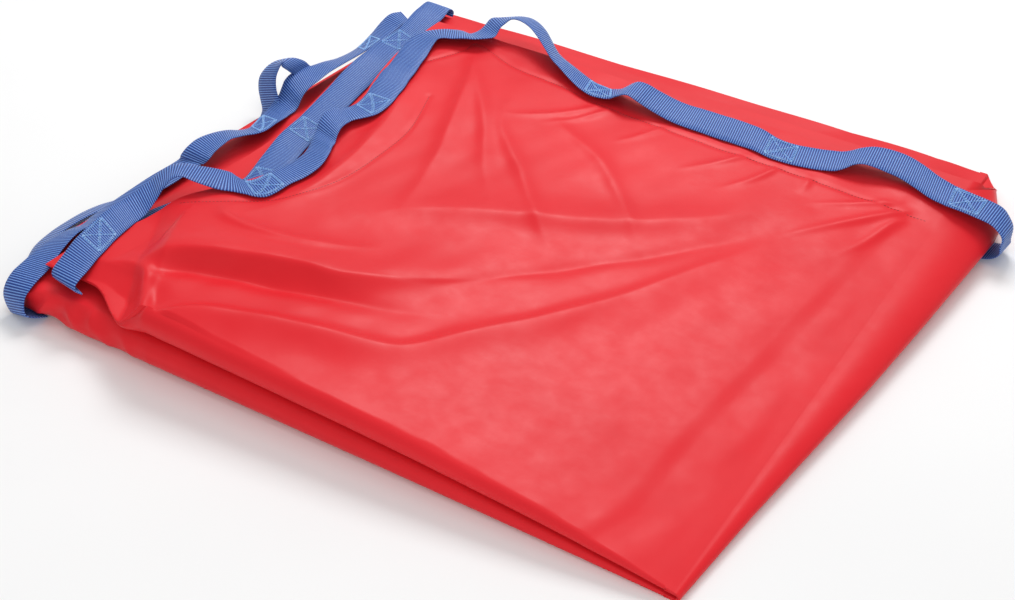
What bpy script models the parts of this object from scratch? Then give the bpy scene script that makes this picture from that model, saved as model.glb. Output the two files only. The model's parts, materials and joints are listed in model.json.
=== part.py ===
"""Fire blanket, folded in quarter for storage.

One square sheet of coated cloth with ribbed webbing sewn round its hem. Between the stitch
boxes the webbing is slack, so that each span is a hand loop. The sheet is folded in half along
the front edge (-Y), and then in half again along the right edge (+X), so four quarters lie on
top of each other:

    top_quarter           unfolds upwards about the side fold
    upper_inner_quarter   unfolds with it
    lower_inner_quarter   stays down
    bottom_quarter        lies on the ground, its underside at z = 0

The origin is the centre of the pack's footprint on the ground. X runs along the front fold,
Y along the side fold, Z is up. Heights are worked out from the radii of the folds, so that each
quarter meets its rolls. Everything is in metres.
"""
from math import cos, exp, pi, radians, sin

import bpy
import numpy as np

# Cloth and webbing
CLOTH = 0.0012           # thickness of the coated cloth with its hem
WEB_WIDTH = 0.030        # width of the webbing
WEB = 0.0015             # thickness of the webbing
GAP = 0.0004             # clearance between pieces that touch
WRAP_SLACK = 0.0002      # extra room round a fold
WRAP_TAIL = 0.0225       # a wrap runs this far in from the front before the next span
PACK = 0.600             # side of the folded pack, half of the sheet's 1.2 m

# Folds
FRONT = -0.305           # outermost line of the front folds
LEFT = -0.300            # where the front folds have their full thickness
AXIS_X = 0.296           # centre line of the side fold, which is also the hinge line
AXIS_Z_FRONT, AXIS_Z_BACK = 0.0042, 0.0170     # its height at the front and at the back
INNER_FRONT, INNER_BACK = 0.0026, 0.0120       # outer radius of the inner side roll
LOW_ROLL_SWELL = 0.026   # how much thicker the lower front roll is at the left
HIGH_ROLL_SWELL = 0.019  # and the upper one
PRESSED = 0.0028         # thickness of a roll that is pressed flat
SLOT_SWELL = 0.002       # the slot between the two front rolls widens by this much
CORNER_RELIEF = 0.010    # the front rolls stop this far short of the hinge line

# Back left corner: underside of each quarter there
BACK_LEFT_LOWER, BACK_LEFT_UPPER, BACK_LEFT_TOP = 0.012, 0.026, 0.042

# Free hems. A left hem runs from its front end to its back end and is drawn in by its bay
# between them; a back hem runs from its left end to its right end.
LEFT_HEM = {"bottom": (-0.352, -0.300, 0.0), "lower": (-0.322, -0.284, 0.0),
            "upper": (-0.290, -0.288, 0.030), "top": (-0.278, -0.238, 0.066)}
BAY_MIDDLE = -0.05       # where the bays are deepest, along Y
BAY_SPREAD = 0.14
BACK_HEM = {"bottom": (0.304, 0.304), "lower": (0.276, 0.268),
            "upper": (0.262, 0.250), "top": (0.222, 0.226)}
HEM_RISE = 0.0026        # the bottom hem rises over the webbing that is sewn under it
HEM_RAMP = 0.050         # width of that ramp
HEM_LINE = 0.090         # the ramp starts this far inside the hem

PANEL_STEPS = 14         # faces along each side of a quarter
ROLL_STEPS = 16          # faces along a roll
ARC_STEPS = 7            # faces round a roll
SPAN_STEPS = 22          # faces along one span of webbing
LEG_SAMPLES = 24         # samples between two stations when a route is smoothed

RED = (0.78, 0.03, 0.035, 1.0)
BLUE = (0.045, 0.12, 0.52, 1.0)


def mix(a, b, t):
    return a + (b - a) * t


def smooth(t):
    t = min(max(t, 0.0), 1.0)
    return t * t * (3 - 2 * t)


def along_front(x):
    """0 at the left end of the front folds, 1 at the hinge line."""
    return min(max((x - LEFT) / (AXIS_X - LEFT), 0.0), 1.0)


def along_side(y):
    """0 at the front, 1 at the back."""
    return min(max(y / PACK + 0.5, 0.0), 1.0)


def axis_height(y):
    """Height of the hinge line, which is also the outer radius of the side fold."""
    return mix(AXIS_Z_FRONT, AXIS_Z_BACK, along_side(y))


def inner_radius(y):
    return mix(INNER_FRONT, INNER_BACK, along_side(y))


def low_roll(x):
    """Thickness of the lower front roll, between the two lower quarters."""
    return PRESSED + LOW_ROLL_SWELL * (1 - along_front(x) ** 2)


def high_roll(x):
    """Thickness of the upper front roll, between the two upper quarters."""
    return PRESSED + HIGH_ROLL_SWELL * (1 - along_front(x) ** 4)


def high_roll_base(x):
    return low_roll(x) + PRESSED + SLOT_SWELL * (1 - along_front(x))


def underside(layer, x, y):
    """Height of a quarter's lower face over the point (x, y)."""
    u, v = along_front(x), along_side(y)
    if layer == "bottom":
        left = (left_hem("bottom", y) + HEM_LINE - x) / HEM_RAMP
        back = (y - BACK_HEM["bottom"][0] + HEM_LINE) / HEM_RAMP
        return HEM_RISE * max(smooth(left), smooth(back))
    at_right = {"lower": AXIS_Z_BACK - INNER_BACK,
                "upper": AXIS_Z_BACK + INNER_BACK - CLOTH,
                "top": 2 * AXIS_Z_BACK - CLOTH}[layer]
    at_left = {"lower": BACK_LEFT_LOWER, "upper": BACK_LEFT_UPPER, "top": BACK_LEFT_TOP}[layer]
    at_front = {"lower": low_roll(x) - CLOTH,
                "upper": high_roll_base(x),
                "top": high_roll_base(x) + high_roll(x) - CLOTH}[layer]
    return mix(at_front, mix(at_left, at_right, u), v)


def upper_face(layer, x, y):
    if layer == "ground":
        return 0.0
    return underside(layer, x, y) + CLOTH


def left_hem(layer, y):
    front, back, bay = LEFT_HEM[layer]
    return mix(front, back, along_side(y)) + bay * exp(-((y - BAY_MIDDLE) / BAY_SPREAD) ** 2)


def back_hem(layer, x):
    return mix(*BACK_HEM[layer], along_front(x))


# Webbing routes, chosen by hand, in millimetres: x, y, lift over the face it lies on, and the
# tilt in degrees of its width away from that face. A route is cut into spans at its stitch
# boxes, which are the stations whose number is in the list after it.
TOP_BACK = ("top", [
    (284, 211, 0, 0), (262, 217, 0, 3), (242, 229, 1, 5), (222, 231, 2, 12),
    (206, 220, 2, 10), (190, 202, 1, 5), (165, 194, 1, 0),
    (140, 195, 0, 0), (108, 199, 0, 0), (74, 204, 1, 3), (42, 208, 1, 8), (12, 210, 1, 20),
    (-8, 205, 1, 30), (-20, 195, 0, 15), (-33, 189, 0, 0),
    (-60, 199, 0, 10), (-88, 212, 1, 25), (-110, 226, 1, 35), (-126, 238, 2, 40),
    (-145, 250, 3, 40), (-165, 256, 4, 40), (-183, 250, 4, 30), (-193, 235, 3, 15),
    (-196, 212, 0, 0)], [0, 7, 14, 23])
TOP_LEFT = ("top", [
    (-222, 200, 1, 0), (-231, 176, 1, 10), (-220, 143, 1, 8), (-206, 104, 0, 0),
    (-195, 66, 0, 0), (-191, 42, 0, 0),
    (-192, 24, 2, 10), (-203, 12, 3, 20), (-205, -8, 4, 25), (-193, -30, 3, 20),
    (-180, -52, 2, 10), (-173, -78, 1, 5), (-178, -102, 0, 0), (-186, -124, 0, 0),
    (-204, -132, 2, 5), (-228, -135, 3, 10), (-248, -140, 5, 20), (-262, -152, 6, 30),
    (-264, -170, 5, 25), (-258, -194, 2, 10), (-256, -214, 0, 0), (-255, -232, 0, 0),
    (-255, -252, 0, 0), (-256, -268, 0, 0), (-257, -280, 0, 0)], [0, 5, 13, 21, 24])
UPPER_LEFT = ("upper", [
    (-270, 262, 1, 5), (-268, 240, 0, 0), (-266, 212, 0, 0),
    (-264, 182, 1, 5), (-261, 150, 1, 10), (-256, 115, 1, 10), (-252, 80, 1, 5),
    (-248, 46, 0, 0), (-243, 15, 0, 0),
    (-238, -10, 0, 0), (-233, -36, 1, 10), (-228, -62, 1, 8), (-228, -88, 0, 0),
    (-238, -118, 0, 0), (-252, -146, 0, 0),
    (-262, -178, 1, 0), (-265, -215, 1, 0), (-263, -250, 0, 0), (-261, -280, 0, 0)],
    [0, 2, 8, 14, 18])
LOWER_LEFT = ("lower", [
    (-300, 238, 6, 10), (-303, 222, 6, 10), (-300, 204, 3, 5), (-292, 180, 0, 0),
    (-295, 160, 2, 5), (-298, 135, 8, 5), (-299, 105, 14, 0), (-300, 80, 15, 0),
    (-300, 62, 12, 0), (-299, 45, 5, 0), (-297, 28, 1, 0), (-294, 8, 0, 0),
    (-294, -12, 3, 0), (-297, -32, 10, 0), (-300, -52, 15, 0), (-302, -72, 14, 0),
    (-303, -90, 6, 0), (-301, -110, 2, 0), (-298, -136, 0, 0),
    (-300, -166, 1, 5), (-304, -200, 1, 5), (-306, -232, 1, 5), (-305, -258, 1, 3),
    (-303, -280, 0, 0)], [0, 3, 11, 18, 23])
BOTTOM_LEFT = ("ground", [
    (-286, 270, 0, 0), (-293, 190, 0, 0), (-300, 110, 0, 0), (-307, 30, 0, 0),
    (-314, -50, 0, 0), (-321, -130, 0, 0), (-327, -210, 0, 0), (-322, -280, 0, 0)], [0, 3, 5, 7])
BOTTOM_BACK = ("ground", [
    (-284, 288, 0, 0), (-142, 288, 0, 0), (0, 288, 0, 0), (145, 288, 0, 0),
    (290, 286, 0, 0)], [0, 2, 4])
LOWER_BACK = ("lower", [
    (-266, 252, 0, 0), (-90, 250, 0, 0), (90, 247, 0, 0), (286, 244, 0, 0)], [0, 3])

# Webbing that stands free of the cloth: x, y, z in millimetres, and the direction of its width
STANDING_LOOP = ([
    (-333, 36, 11), (-335, 42, 24), (-336, 50, 40), (-336, 62, 52), (-335, 76, 55),
    (-334, 90, 49), (-333, 100, 36), (-332, 106, 21), (-332, 109, 11)], (1.0, 0.0, 0.0))
RIGHT_WRAP = ([
    (286, 211, 32.5), (302, 212, 35.5), (319, 213, 38), (335, 212, 37), (347, 207, 30),
    (351, 200, 20), (346, 195, 10), (334, 192, 4.5), (318, 191, 2.6)], (0.12, 1.0, 0.0))


def smooth_path(stations, first, last, steps):
    """Evenly spaced points on the smooth curve through the stations, from first to last."""
    points = np.array(stations, float)
    points = np.vstack([2 * points[0] - points[1], points, 2 * points[-1] - points[-2]])
    fine = []
    for p0, p1, p2, p3 in zip(points[first:last], points[first + 1:], points[first + 2:],
                              points[first + 3:]):
        for t in np.linspace(0, 1, LEG_SAMPLES, endpoint=False):
            fine.append(0.5 * (2 * p1 + (p2 - p0) * t + (2 * p0 - 5 * p1 + 4 * p2 - p3) * t ** 2
                               + (3 * p1 - p0 - 3 * p2 + p3) * t ** 3))
    fine = np.array(fine + [points[last + 1]])
    legs = np.linalg.norm(np.diff(fine[:, :3], axis=0), axis=1)
    length = np.concatenate([[0], np.cumsum(legs)])
    even = np.linspace(0, length[-1], steps + 1)
    return np.stack([np.interp(even, length, column) for column in fine.T], axis=1)


def material(name, colour, roughness):
    made = bpy.data.materials.new(name)
    made.use_nodes = True
    shader = made.node_tree.nodes["Principled BSDF"]
    shader.inputs["Base Color"].default_value = colour
    shader.inputs["Roughness"].default_value = roughness
    return made


def shell(name, rows, thickness, finish, collection):
    """A strip or sheet: an open grid of points made solid, half of its thickness each way."""
    width = len(rows[0])
    points = [tuple(p) for row in rows for p in row]
    faces = [(r * width + c, r * width + c + 1, (r + 1) * width + c + 1, (r + 1) * width + c)
             for r in range(len(rows) - 1) for c in range(width - 1)]
    mesh = bpy.data.meshes.new(name)
    mesh.from_pydata(points, [], faces)
    mesh.shade_smooth()
    thing = bpy.data.objects.new(name, mesh)
    thing.data.materials.append(finish)
    collection.objects.link(thing)
    solid = thing.modifiers.new("thickness", "SOLIDIFY")
    solid.thickness = thickness
    solid.offset = 0.0
    return thing


def quarter(name, layer, collection, finish):
    """One quarter of the sheet, from its front roll to its back hem."""
    roll = low_roll if layer in ("bottom", "lower") else high_roll
    rows = []
    for j in range(PANEL_STEPS + 1):
        row = []
        for i in range(PANEL_STEPS + 1):
            s, t = i / PANEL_STEPS, j / PANEL_STEPS
            y = mix(FRONT, back_hem(layer, 0), t)
            x = mix(left_hem(layer, y), AXIS_X - GAP, s)
            start = FRONT + roll(x) / 2 + GAP
            y = mix(start, back_hem(layer, x), t)
            row.append((x, y, underside(layer, x, y) + CLOTH / 2))
        rows.append(row)
    return shell(name, rows, CLOTH, finish, collection)


def front_bend(lower, upper, x):
    """Radius and middle height of the bend that joins two quarters along the front edge."""
    bottom, top = underside(lower, x, FRONT), upper_face(upper, x, FRONT)
    return (top - bottom) / 2, (top + bottom) / 2


def front_roll(name, lower, upper, left, collection, finish):
    """The half round bend that joins two quarters along the front edge."""
    rows = []
    for j in range(ROLL_STEPS + 1):
        x = mix(left, AXIS_X - CORNER_RELIEF, j / ROLL_STEPS)
        radius, level = front_bend(lower, upper, x)
        middle = radius - CLOTH / 2
        row = []
        for i in range(ARC_STEPS + 1):
            turn = pi * (i / ARC_STEPS - 0.5)
            row.append((x, FRONT + radius - middle * cos(turn), level + middle * sin(turn)))
        rows.append(row)
    return shell(name, rows, CLOTH, finish, collection)


def front_wrap(name, lower, upper, x_ends, collection, finish):
    """Hem webbing that turns round a front fold, from the lower quarter to the upper one."""
    rows = []
    tail = FRONT + WRAP_TAIL
    for j in range(SPAN_STEPS + 1):
        t = j / SPAN_STEPS
        x = mix(*x_ends, t)
        radius, level = front_bend(lower, upper, x_ends[1])
        middle = radius + GAP + WEB / 2 + WRAP_SLACK
        turn = pi * (min(max((t - 0.15) / 0.7, 0.0), 1.0) - 0.5)
        straight = max(0.15 - t, t - 0.85, 0.0) / 0.15
        y = mix(FRONT + radius - middle * cos(turn), tail, straight)
        rows.append([(x + offset, y, level + middle * sin(turn))
                     for offset in (-WEB_WIDTH / 2, 0.0, WEB_WIDTH / 2)])
    return shell(name, rows, WEB, finish, collection)


def side_roll(name, radius_at, ends, start, collection, finish):
    """The half round bend about the hinge line. Its back end slants from the lower hem to the
    upper one, given by ends."""
    rows = []
    for j in range(ROLL_STEPS + 1):
        row = []
        for i in range(ARC_STEPS + 1):
            turn = pi * (i / ARC_STEPS - 0.5)
            y = mix(start, mix(*ends, i / ARC_STEPS), j / ROLL_STEPS)
            radius = radius_at(y) - CLOTH / 2
            row.append((AXIS_X + radius * cos(turn), y, axis_height(y) + radius * sin(turn)))
        rows.append(row)
    return shell(name, rows, CLOTH, finish, collection)


def webbing_edge(layer, centre, side, offset, lift, tilt):
    """A point on the webbing, offset from its centre line along its width."""
    x = centre[0] + side[0] * offset * cos(tilt)
    y = centre[1] + side[1] * offset * cos(tilt)
    foot = upper_face(layer, x, y) + GAP + WEB / 2 + lift
    return x, y, foot + (WEB_WIDTH / 2) * abs(sin(tilt)) + offset * sin(tilt)


def webbing(name, route, collection, finish):
    """A hem's webbing, as one node for each span between two stitch boxes."""
    layer, stations, cuts = route
    plan = np.array(stations, float)[:, :2]
    through = np.gradient(plan, axis=0)
    for number in range(len(cuts) - 1):
        span = smooth_path(stations, cuts[number], cuts[number + 1], SPAN_STEPS)
        span[:, :3] /= 1000.0
        heading = np.gradient(span[:, :2], axis=0)
        heading[0], heading[-1] = through[cuts[number]], through[cuts[number + 1]]
        heading /= np.linalg.norm(heading, axis=1)[:, None]
        span[0, :2] += heading[0] * GAP
        span[-1, :2] -= heading[-1] * GAP
        rows = []
        for (x, y, lift, tilt), (hx, hy) in zip(span, heading):
            rows.append([webbing_edge(layer, (x, y), (hy, -hx), offset, lift, radians(tilt))
                         for offset in (-WEB_WIDTH / 2, 0.0, WEB_WIDTH / 2)])
        label = name if len(cuts) == 2 else f"{name}_{number + 1}"
        shell(label, rows, WEB, finish, collection)


def bent_strip(name, route, collection, finish):
    """Webbing that stands free of the cloth."""
    stations, across = route
    path = smooth_path(stations, 0, len(stations) - 1, SPAN_STEPS) / 1000.0
    across = np.array(across) / np.linalg.norm(across)
    rows = [[tuple(p + across * offset) for offset in (-WEB_WIDTH / 2, 0.0, WEB_WIDTH / 2)]
            for p in path]
    return shell(name, rows, WEB, finish, collection)


def build():
    for thing in list(bpy.data.objects):
        bpy.data.objects.remove(thing, do_unlink=True)
    collection = bpy.data.collections.new("fire_blanket")
    bpy.context.scene.collection.children.link(collection)
    cloth = material("coated_cloth", RED, 0.38)
    blue = material("hem_webbing", BLUE, 0.6)

    quarter("bottom_quarter", "bottom", collection, cloth)
    quarter("lower_inner_quarter", "lower", collection, cloth)
    quarter("upper_inner_quarter", "upper", collection, cloth)
    quarter("top_quarter", "top", collection, cloth)
    front_roll("front_fold_lower", "bottom", "lower", LEFT - 0.020, collection, cloth)
    front_roll("front_fold_upper", "upper", "top", LEFT + 0.022, collection, cloth)
    side_roll("side_fold_outer", axis_height, (BACK_HEM["bottom"][1], BACK_HEM["top"][1]),
              FRONT + 0.003, collection, cloth)
    side_roll("side_fold_inner", inner_radius, (BACK_HEM["lower"][1], BACK_HEM["upper"][1]),
              FRONT + 0.004, collection, cloth)

    webbing("webbing_top_back", TOP_BACK, collection, blue)
    webbing("webbing_top_left", TOP_LEFT, collection, blue)
    webbing("webbing_upper_left", UPPER_LEFT, collection, blue)
    webbing("webbing_lower_left", LOWER_LEFT, collection, blue)
    webbing("webbing_bottom_left", BOTTOM_LEFT, collection, blue)
    webbing("webbing_bottom_back", BOTTOM_BACK, collection, blue)
    webbing("webbing_lower_back", LOWER_BACK, collection, blue)
    bent_strip("webbing_standing_loop", STANDING_LOOP, collection, blue)
    bent_strip("webbing_right_wrap", RIGHT_WRAP, collection, blue)
    front_wrap("webbing_left_wrap_lower", "bottom", "lower", (-0.322, -0.303), collection, blue)
    front_wrap("webbing_left_wrap_upper", "upper", "top", (-0.261, -0.257), collection, blue)


build()
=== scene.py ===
"""Looks of the folded fire blanket: coated red cloth, ribbed blue webbing and its stitching.

Lengths are metres in the frame of the CAD model. X runs along the front folds, Y along the side
fold, Z is up. The heights and hems of the quarters repeat the CAD model's own. The webbing has
finer stations than the CAD model's routes.
"""
import json
from math import atan2, cos, pi, radians, sin

import bpy
import numpy as np
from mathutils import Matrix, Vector


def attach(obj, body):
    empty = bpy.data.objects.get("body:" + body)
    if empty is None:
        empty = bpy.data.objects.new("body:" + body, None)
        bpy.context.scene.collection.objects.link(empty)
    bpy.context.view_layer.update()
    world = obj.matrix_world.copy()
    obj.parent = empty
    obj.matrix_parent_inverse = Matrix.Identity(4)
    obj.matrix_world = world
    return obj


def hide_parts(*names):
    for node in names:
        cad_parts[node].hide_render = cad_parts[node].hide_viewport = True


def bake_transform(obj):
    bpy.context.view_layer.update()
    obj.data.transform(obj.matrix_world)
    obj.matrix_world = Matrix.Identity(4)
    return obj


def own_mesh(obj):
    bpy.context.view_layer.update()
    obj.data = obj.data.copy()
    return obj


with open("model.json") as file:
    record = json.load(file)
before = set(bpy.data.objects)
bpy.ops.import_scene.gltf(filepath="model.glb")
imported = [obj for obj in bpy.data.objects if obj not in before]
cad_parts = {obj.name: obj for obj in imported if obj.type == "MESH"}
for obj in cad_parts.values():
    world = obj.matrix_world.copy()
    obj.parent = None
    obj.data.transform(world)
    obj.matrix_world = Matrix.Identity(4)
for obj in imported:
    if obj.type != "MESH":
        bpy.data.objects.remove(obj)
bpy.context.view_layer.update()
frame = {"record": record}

# ---------------------------------------------------------------- sizes shared with the CAD
CLOTH = 0.0012
WEB_WIDTH = 0.030
WEB = 0.0015
GAP = 0.0004
PACK = 0.600
FRONT, LEFT = -0.305, -0.300
HINGE = next(j for j in frame["record"]["behaviour"]["joints"] if j["name"] == "unfold")
AXIS_X = HINGE["pos_m"][0]
AXIS_Z_FRONT, AXIS_Z_BACK = 0.0042, 0.0170
INNER_FRONT, INNER_BACK = 0.0026, 0.0120
LOW_ROLL_SWELL, HIGH_ROLL_SWELL = 0.026, 0.019
PRESSED, SLOT_SWELL = 0.0028, 0.002
BACK_LEFT = {"lower": 0.012, "upper": 0.026, "top": 0.042}
LEFT_HEM = {"bottom": (-0.352, -0.300, 0.0), "lower": (-0.322, -0.284, 0.0),
            "upper": (-0.290, -0.288, 0.030), "top": (-0.278, -0.238, 0.066)}
BAY_MIDDLE, BAY_SPREAD = -0.05, 0.14
BACK_HEM = {"bottom": (0.304, 0.304), "lower": (0.276, 0.268),
            "upper": (0.262, 0.250), "top": (0.222, 0.226)}
HEM_RISE, HEM_RAMP, HEM_LINE = 0.0026, 0.050, 0.090

# ---------------------------------------------------------------- sizes of the looks
FRONT_DRAW = {"bottom": 0.044, "lower": 0.014}    # the hem is drawn in by the loop at the front
FRONT_DRAW_FROM, FRONT_DRAW_OVER = -0.235, 0.055
SKIN = 0.0009            # thickness of the cloth that is seen
BAND_IN = 0.008          # the bend of the side fold starts this far inside the hinge line
SIDE_BULGE = ((-0.30, -0.21, -0.12, -0.04, 0.05, 0.12, 0.19, 0.213, 0.235, 0.260, 0.280),
              (0.000, 0.005, 0.012, 0.018, 0.023, 0.026, 0.029, 0.027, 0.015, 0.004, 0.000))
RIB = 0.0022             # pitch of the webbing's ribs
RIB_SAMPLES = 4          # rows of mesh for each rib
RIB_RELIEF = 0.26        # how much thicker the webbing is at a rib


def mix(a, b, t):
    return a + (b - a) * t


def smooth(t):
    t = np.clip(t, 0.0, 1.0)
    return t * t * (3 - 2 * t)


# ---------------------------------------------------------------- heights of the four quarters
def along_front(x):
    return np.clip((x - LEFT) / (AXIS_X - LEFT), 0.0, 1.0)


def along_side(y):
    return np.clip(y / PACK + 0.5, 0.0, 1.0)


def axis_height(y):
    return mix(AXIS_Z_FRONT, AXIS_Z_BACK, along_side(y))


def inner_radius(y):
    return mix(INNER_FRONT, INNER_BACK, along_side(y))


def low_roll(x):
    return PRESSED + LOW_ROLL_SWELL * (1 - along_front(x) ** 2)


def high_roll(x):
    return PRESSED + HIGH_ROLL_SWELL * (1 - along_front(x) ** 4)


def high_roll_base(x):
    return low_roll(x) + PRESSED + SLOT_SWELL * (1 - along_front(x))


def plain_underside(layer, x, y):
    """Height of a quarter's lower face in the CAD model."""
    x, y = np.asarray(x, float), np.asarray(y, float)
    u, v = along_front(x), along_side(y)
    if layer == "bottom":
        left = (left_hem("bottom", y) + HEM_LINE - x) / HEM_RAMP
        back = (y - BACK_HEM["bottom"][0] + HEM_LINE) / HEM_RAMP
        return HEM_RISE * np.maximum(smooth(left), smooth(back))
    at_right = {"lower": AXIS_Z_BACK - INNER_BACK,
                "upper": AXIS_Z_BACK + INNER_BACK - CLOTH,
                "top": 2 * AXIS_Z_BACK - CLOTH}[layer]
    at_front = {"lower": low_roll(x) - CLOTH,
                "upper": high_roll_base(x),
                "top": high_roll_base(x) + high_roll(x) - CLOTH}[layer]
    return mix(at_front, mix(BACK_LEFT[layer], at_right, u), v)


# Folds and creases of the top quarter: the points of a crest line with its height there, in
# millimetres (a negative height is a valley), and the half widths of its profile on the left
# and on the right of the line.
CREASES = [
    (34, 11, [(-236, -236, 0), (-212, -238, 5), (-176, -218, 11), (-107, -191, 11), (-64, -181, 9),
              (-28, -158, 6), (20, -120, 3), (70, -76, 0)]),
    (10, 12, [(-196, -262, 0), (-183, -240, -5), (-140, -222, -6), (-96, -212, -6),
              (-50, -200, -4), (-12, -189, -2), (40, -165, 0)]),
    (9, 20, [(-160, -306, 1), (-146, -292, 5), (-125, -276, 7), (-83, -259, 7), (-29, -243, 6),
             (12, -230, 5), (32, -213, 5), (62, -170, 5), (99, -120, 5), (132, -62, 4),
             (160, -4, 3), (182, 44, 1), (194, 80, 0)]),
    (5, 8, [(-160, -308, 2), (-174, -290, 4), (-188, -272, 5), (-202, -254, 5), (-224, -250, 3),
            (-244, -256, 0)]),
    (9, 7, [(-196, -262, 0), (-182, -268, -3), (-166, -284, -4), (-152, -300, -1)]),
    (9, 9, [(-60, -170, 0), (-5, -146, -1.5), (40, -100, -2.5), (80, -52, -2.5), (115, -14, -2),
            (150, 30, -1.5), (182, 72, 0)]),
    (26, 16, [(-120, -110, 0), (-60, -60, 4), (20, -20, 6), (100, 30, 5), (160, 90, 2),
              (200, 130, 0)]),
    (12, 8, [(-179, 191, 0), (-158, 150, 2.5), (-140, 105, 3.5), (-122, 60, 3), (-108, 24, 2.5),
             (-92, -30, 1.5), (-80, -80, 0)]),
    (9, 7, [(-176, 176, 0), (-138, 132, 2), (-98, 80, 2.5), (-60, 20, 1.5), (-20, -30, 0)]),
    (9, 7, [(-110, 150, 0), (-90, 95, 1.5), (-62, 62, 2.5), (-32, 33, 2.5), (19, -24, 2),
            (60, -60, 0)]),
    (9, 7, [(-60, 130, 0), (-30, 112, 1.5), (19, 84, 2.2), (70, 34, 2), (113, -17, 0)]),
    (10, 8, [(-200, 150, 0), (-188, 90, 2), (-170, 20, 3.5), (-160, -50, 3.5), (-165, -110, 2),
             (-190, -160, 0)]),
    (8, 6, [(-206, -150, 0), (-190, -166, 3), (-150, -166, 3), (-110, -156, 2), (-60, -130, 0)]),
    (5, 5, [(-30, 172, 0), (-42, 150, 2), (-62, 128, 1.5), (-96, 104, 0)]),
    (4, 4, [(-18, 172, 0), (-26, 154, 1.6), (-40, 132, 1), (-60, 112, 0)]),
    (4, 4, [(40, 172, 0), (34, 160, 1.4), (24, 140, 1), (10, 120, 0)]),
    (4, 4, [(120, 172, 0), (112, 158, 1.7), (98, 138, 1.2), (76, 112, 0)]),
    (4, 4, [(150, 172, 0), (146, 156, 1.7), (136, 132, 1.2), (118, 104, 0)]),
    (4, 4, [(176, 172, 0), (180, 160, 1.4), (182, 140, 0)]),
    (5, 5, [(274, 178, 0), (258, 158, 2), (232, 128, 2), (204, 92, 1), (190, 70, 0)]),
    (5, 5, [(272, 160, 0), (264, 146, 2), (254, 112, 1.5), (240, 78, 0)]),
    (4, 4, [(262, 180, 0), (240, 164, 1.6), (214, 146, 1), (190, 130, 0)]),
    (10, 20, [(222, 206, 0), (252, 203, 3), (278, 197, 5), (300, 193, 5.5), (340, 190, 5.5)]),
]
# The front left corner of the top quarter falls away left of this line, from back to front
SINK_LINE = ((-0.224, -0.180), (-0.163, -0.305))
SINK_DEPTH, SINK_WIDTH = 0.010, 0.022
FACET_DEPTH, FACET_FROM, FACET_WIDTH = 0.009, -0.256, 0.026
CORNER_LIFT = 0.003      # the upper inner quarter stands clear of the lower one there
# The side fold has a low rim along its inner edge: X of the rim at places along Y
RIM_AT = (-0.306, -0.259, -0.172, -0.038, 0.169)
RIM_X = (0.232, 0.245, 0.247, 0.258, 0.272)
RIM_STEP, RIM_WIDTH = 0.0008, 0.016
HEM_LINES = [[(-207, 150), (-190, 186), (-185, 206), (-131, 186), (-78, 180), (-31, 172), (20, 168),
              (74, 166), (190, 166), (286, 166)],
             [(-168, 96), (-150, 40), (-146, -20), (-150, -70), (-168, -112), (-204, -142),
              (-240, -168)]]
HEM_GROOVE = 0.0007
RETREAT, RETREAT_FROM, RETREAT_OVER = 0.027, -0.180, 0.060   # the upper front fold at its left end


def smooth_line(points, per_leg):
    """A Catmull-Rom curve through a list of points."""
    points = np.array(points, float)
    ends = np.vstack([2 * points[0] - points[1], points, 2 * points[-1] - points[-2]])
    t = np.linspace(0, 1, per_leg, endpoint=False)[:, None]
    out = [0.5 * (2 * p1 + (p2 - p0) * t + (2 * p0 - 5 * p1 + 4 * p2 - p3) * t ** 2
                  + (3 * p1 - p0 - 3 * p2 + p3) * t ** 3)
           for p0, p1, p2, p3 in zip(ends, ends[1:], ends[2:], ends[3:])]
    return np.vstack(out + [points[-1:]])


def line_distance(points, x, y):
    """Signed distance from the points (x, y) to a line, and the line's own value there."""
    nearest = np.full(x.shape, np.inf)
    signed, value = np.zeros(x.shape), np.zeros(x.shape)
    for a, b in zip(points[:-1], points[1:]):
        leg = b[:2] - a[:2]
        t = np.clip(((x - a[0]) * leg[0] + (y - a[1]) * leg[1]) / (leg @ leg), 0.0, 1.0)
        dx, dy = x - a[0] - t * leg[0], y - a[1] - t * leg[1]
        away = np.hypot(dx, dy)
        closer = away < nearest
        nearest = np.where(closer, away, nearest)
        side = np.sign(leg[0] * dy - leg[1] * dx)
        signed = np.where(closer, away * side, signed)
        value = np.where(closer, mix(a[-1], b[-1], t), value)
    return signed, value


def crest(x, y):
    """Sum of the creases over the points (x, y)."""
    total = np.zeros(x.shape)
    for left, right, line in CREASES:
        signed, height = line_distance(smooth_line(line, 5) / 1000.0, x, y)
        width = np.where(signed > 0, left, right) / 1000.0
        total += height * np.exp(-np.abs(signed / width) ** 1.6)
    return total


def ripple(x, y, seed, size, height):
    """Slow irregular waves, the same on every run."""
    rng = np.random.default_rng(seed)
    total = np.zeros(np.broadcast(x, y).shape)
    for _ in range(14):
        turn, phase = rng.uniform(0, 2 * pi, 2)
        wave = rng.uniform(0.7, 1.8) * size
        total += np.sin((x * cos(turn) + y * sin(turn)) * 2 * pi / wave + phase)
    return total * height / 14 ** 0.5


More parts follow.
